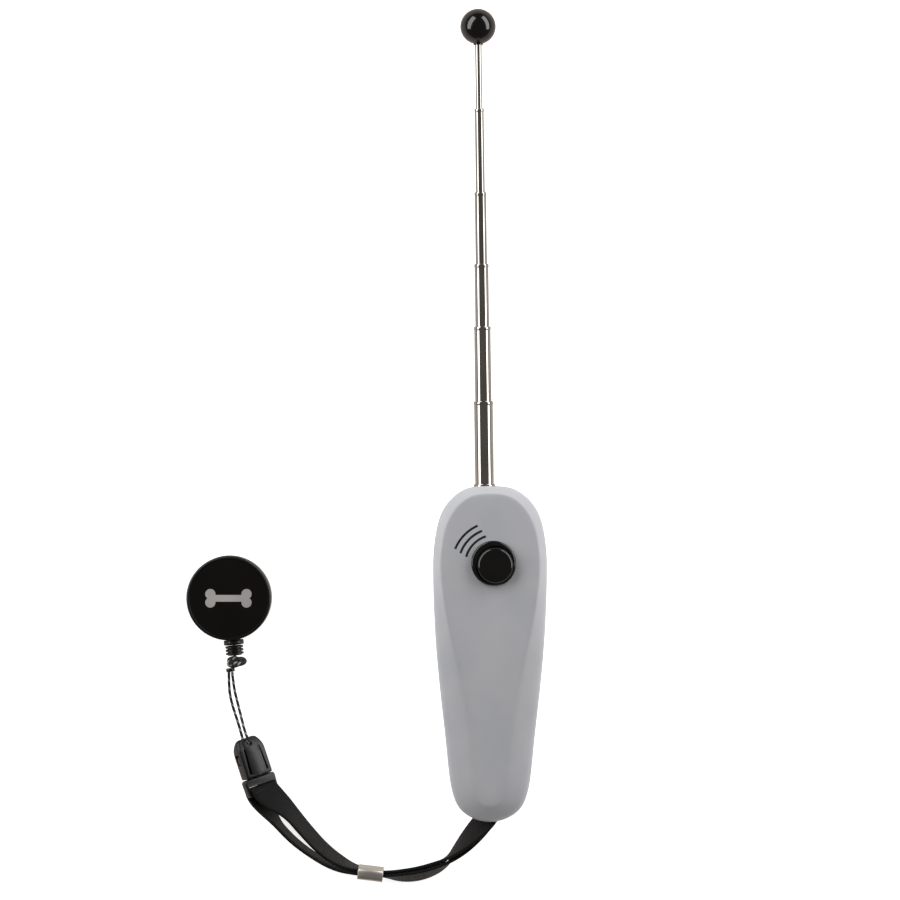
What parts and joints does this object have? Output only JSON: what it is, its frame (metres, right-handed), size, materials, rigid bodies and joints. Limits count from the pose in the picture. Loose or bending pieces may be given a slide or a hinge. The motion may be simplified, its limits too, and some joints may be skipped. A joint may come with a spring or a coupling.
{
  "type": "telescopic target stick with clicker",
  "caption": "Dog training target stick: telescopic chrome rod with ball tip, pebble handle with thumb clicker, wrist strap, buckle and belt reel.",
  "frame": {"origin": "on the handle's flat back, halfway along the handle and on its middle line", "axes": "+Y along the handle towards the ball, +X across it to the right, +Z out of its face with the button"},
  "size_m": [0.1237, 0.3006, 0.0252],
  "materials": {
    "shell_plastic": "satin moulded ABS, light grey",
    "black_gloss_plastic": "gloss moulded ABS, black",
    "inner_plastic": "moulded acetal, natural white",
    "spring_steel": "rolled spring steel",
    "screw_steel": "zinc plated steel",
    "chrome_tube": "chrome plated drawn brass tube",
    "brass": "turned brass",
    "nylon_webbing": "woven nylon webbing, black",
    "flecked_cord": "braided polyester cord, black with white flecks",
    "satin_nickel": "satin nickel plated steel",
    "buckle_plastic": "moulded acetal, black",
    "reel_plastic": "moulded ABS, black",
    "reel_face": "printed plastic disc, black"
  },
  "bodies": {
    "handle": {"front_shell": "shell_plastic", "back_shell": "shell_plastic", "button_collar": "black_gloss_plastic", "clicker_carrier": "inner_plastic", "click_plate": "spring_steel", "plate_rivets": "screw_steel", "carrier_screws": "screw_steel", "case_screws": "screw_steel", "antenna_base_tube": "chrome_tube", "antenna_base_plug": "brass", "antenna_screw": "screw_steel", "strap_pin": "screw_steel", "strap_upper_layer": "nylon_webbing", "strap_lower_layer": "nylon_webbing", "strap_ferrule": "satin_nickel", "buckle_male": "buckle_plastic", "buckle_prongs": "buckle_plastic"},
    "button": {"button_cap": "black_gloss_plastic"},
    "section_1": {"antenna_section_1": "chrome_tube", "slip_ring_1": "brass"},
    "section_2": {"antenna_section_2": "chrome_tube", "slip_ring_2": "brass"},
    "section_3": {"antenna_section_3": "chrome_tube", "slip_ring_3": "brass"},
    "section_4": {"antenna_section_4": "chrome_tube", "slip_ring_4": "brass"},
    "section_5": {"antenna_section_5": "chrome_tube", "slip_ring_5": "brass"},
    "tip": {"antenna_tip_rod": "chrome_tube", "ball_tip": "black_gloss_plastic", "slip_ring_6": "brass"},
    "tether": {"buckle_female": "buckle_plastic", "cord_loop": "flecked_cord", "cord_crimp": "reel_plastic", "cord_knot": "flecked_cord", "reel_stopper": "reel_plastic", "reel_cord": "flecked_cord"},
    "reel": {"reel_front_shell": "reel_plastic", "reel_back_shell": "reel_plastic", "reel_face_disc": "reel_face", "reel_nozzle": "reel_plastic", "reel_axle": "screw_steel", "clip_rivet": "screw_steel"},
    "spool": {"reel_spool": "reel_plastic", "spool_cord_winding": "flecked_cord", "reel_spring": "spring_steel"},
    "clip": {"belt_clip": "spring_steel"}
  },
  "joints": [
    {"name": "button_press", "type": "slide", "parent": "handle", "child": "button", "axis": [0, 0, -1], "range_m": [0, 0.0013], "stiffness_N_per_m": 1800, "springref_m": -0.0003, "deforming": ["click_plate"]},
    {"name": "telescope_1", "type": "slide", "parent": "handle", "child": "section_1", "axis": [-0.0143, 0.9999, 0], "range_m": [-0.0273, 0.0618]},
    {"name": "telescope_2", "type": "slide", "parent": "section_1", "child": "section_2", "axis": [-0.0143, 0.9999, 0], "range_m": [-0.0245, 0.0646]},
    {"name": "telescope_3", "type": "slide", "parent": "section_2", "child": "section_3", "axis": [-0.0143, 0.9999, 0], "range_m": [-0.0204, 0.0687]},
    {"name": "telescope_4", "type": "slide", "parent": "section_3", "child": "section_4", "axis": [-0.0143, 0.9999, 0], "range_m": [-0.0235, 0.0656]},
    {"name": "telescope_5", "type": "slide", "parent": "section_4", "child": "section_5", "axis": [-0.0143, 0.9999, 0], "range_m": [-0.0276, 0.0615]},
    {"name": "telescope_6", "type": "slide", "parent": "section_5", "child": "tip", "axis": [-0.0143, 0.9999, 0], "range_m": [-0.021, 0.0681]},
    {"name": "buckle_release", "type": "slide", "parent": "handle", "child": "tether", "axis": [-0.309, 0.9511, 0], "range_m": [0, 0.016], "deforming": ["buckle_prongs"]},
    {"name": "reel_pull", "type": "slide", "parent": "tether", "child": "reel", "axis": [-0.0993, 0.9951, 0], "range_m": [0, 0.6], "stiffness_N_per_m": 1, "springref_m": -0.8},
    {"name": "spool_spin", "type": "hinge", "parent": "reel", "child": "spool", "pos_m": [-0.0896, 0.0193, 0.0099], "axis": [0, 0, 1], "continuous": true, "deforming": ["reel_spring"]},
    {"name": "clip_swivel", "type": "hinge", "parent": "reel", "child": "clip", "pos_m": [-0.0896, 0.0193, 0.0047], "axis": [0, 0, 1], "continuous": true}
  ],
  "couplings": [
    {"joint": "spool_spin", "follows": "reel_pull", "rad_per_m": 100}
  ]
}
